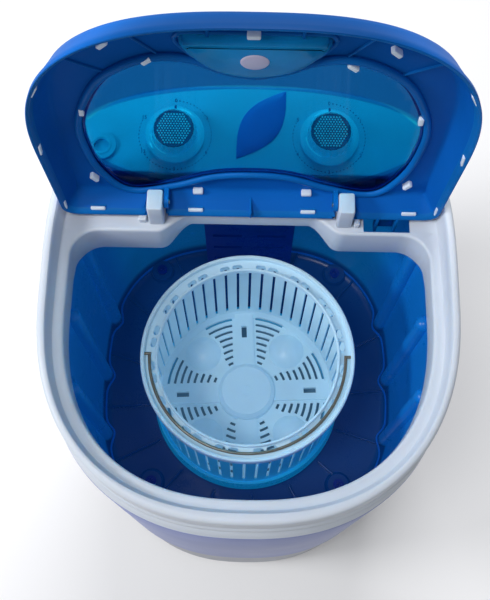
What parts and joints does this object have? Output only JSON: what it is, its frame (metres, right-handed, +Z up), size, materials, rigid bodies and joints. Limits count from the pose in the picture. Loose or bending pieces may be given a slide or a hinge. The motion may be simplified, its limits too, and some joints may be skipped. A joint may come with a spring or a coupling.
{
  "type": "mini washing machine",
  "caption": "Compact top-opening washing machine with a ribbed wash tub, lift-out spin basket, sloped console with timer dials, and a translucent hinged lid shown open.",
  "frame": {"origin": "centre of the body's outline, on the floor that the feet stand on", "axes": "+Z up, front at -Y, lid hinge and console at +Y, +X to the right seen from the front"},
  "size_m": [0.363, 0.39, 0.765],
  "materials": {
    "frame_white": "smooth moulded, light satin",
    "shell_lavender": "frosted translucent moulding",
    "base_grey": "fine satin moulding",
    "band_blue": "satin",
    "tub_blue": "glossy moulded",
    "navy": "glossy moulded",
    "panel_blue": "smooth printed panel",
    "knob_clear": "clear moulded with dotted cap",
    "basket_blue": "satin moulded",
    "pulsator_cyan": "glossy moulded",
    "lid_blue": "translucent glossy moulding",
    "lid_clear": "clear, smooth",
    "badge_lilac": "satin, plain",
    "black_plastic": "fine grain",
    "ivory_plastic": "plain",
    "steel": "bare steel",
    "dark_steel": "dull drawn wire",
    "motor_paint": "dark paint",
    "alloy": "die cast",
    "rubber": "matt"
  },
  "bodies": {
    "housing": {"base_housing": "base_grey", "rubber_feet": "rubber", "seam_band": "band_blue", "outer_shell": "shell_lavender", "top_frame": "frame_white", "wash_tub": "tub_blue", "tub_screws": "navy", "filter_column": "navy", "control_panel": "panel_blue", "panel_leaf_inlay": "navy", "water_inlet_port": "panel_blue", "wash_timer": "alloy", "spin_timer": "alloy", "lid_switch": "black_plastic", "motor_plate": "steel", "plate_spacers": "steel", "motor": "motor_paint", "drive_belt": "rubber", "bearing_housing": "alloy", "upper_bearing": "steel", "lower_bearing": "steel", "shaft_seal": "rubber", "drain_pipe": "frame_white", "capacitor": "ivory_plastic", "back_cover": "base_grey", "back_cover_screws": "steel", "cord_gland": "black_plastic", "hinge_pins": "steel"},
    "lid": {"lid_frame": "lid_blue", "lid_window": "lid_clear", "lid_finger_scoop": "lid_clear", "lid_badge": "badge_lilac"},
    "wash_dial": {"wash_knob": "knob_clear"},
    "spin_dial": {"spin_knob": "knob_clear"},
    "plunger": {"switch_plunger": "ivory_plastic"},
    "rotor": {"motor_shaft": "steel", "motor_pulley": "alloy"},
    "drive": {"drive_pulley": "alloy", "drive_shaft": "steel", "pulsator": "pulsator_cyan", "pulsator_screw": "steel"},
    "basket": {"spin_basket": "basket_blue", "basket_collar": "basket_blue"},
    "bail": {"basket_bail": "dark_steel"}
  },
  "joints": [
    {"name": "lid_hinge", "type": "hinge", "parent": "housing", "child": "lid", "pos_m": [0, 0.0874, 0.506], "axis": [-1, 0, 0], "range_deg": [-92, 0]},
    {"name": "wash_turn", "type": "hinge", "parent": "housing", "child": "wash_dial", "pos_m": [-0.068, 0.14498, 0.52399], "axis": [0, 0.1736, -0.9848], "range_deg": [0, 300]},
    {"name": "spin_turn", "type": "hinge", "parent": "housing", "child": "spin_dial", "pos_m": [0.068, 0.14498, 0.52399], "axis": [0, 0.1736, -0.9848], "range_deg": [0, 300]},
    {"name": "plunger_press", "type": "slide", "parent": "housing", "child": "plunger", "axis": [0, -0.1736, 0.9848], "range_m": [0, 0.002], "stiffness_N_per_m": 100},
    {"name": "drive_spin", "type": "hinge", "parent": "housing", "child": "drive", "pos_m": [0, -0.022, 0.2], "axis": [0, 0, 1], "continuous": true},
    {"name": "motor_spin", "type": "hinge", "parent": "housing", "child": "rotor", "pos_m": [0, 0.098, 0.15], "axis": [0, 0, 1], "continuous": true},
    {"name": "basket_lift", "type": "slide", "parent": "drive", "child": "basket", "axis": [0, 0, 1], "range_m": [0, 0.25]},
    {"name": "bail_swing", "type": "hinge", "parent": "basket", "child": "bail", "pos_m": [0, -0.022, 0.4014], "axis": [-1, 0, 0], "range_deg": [0, 180]}
  ],
  "couplings": [
    {"joint": "motor_spin", "follows": "drive_spin", "ratio": 3.8523}
  ]
}
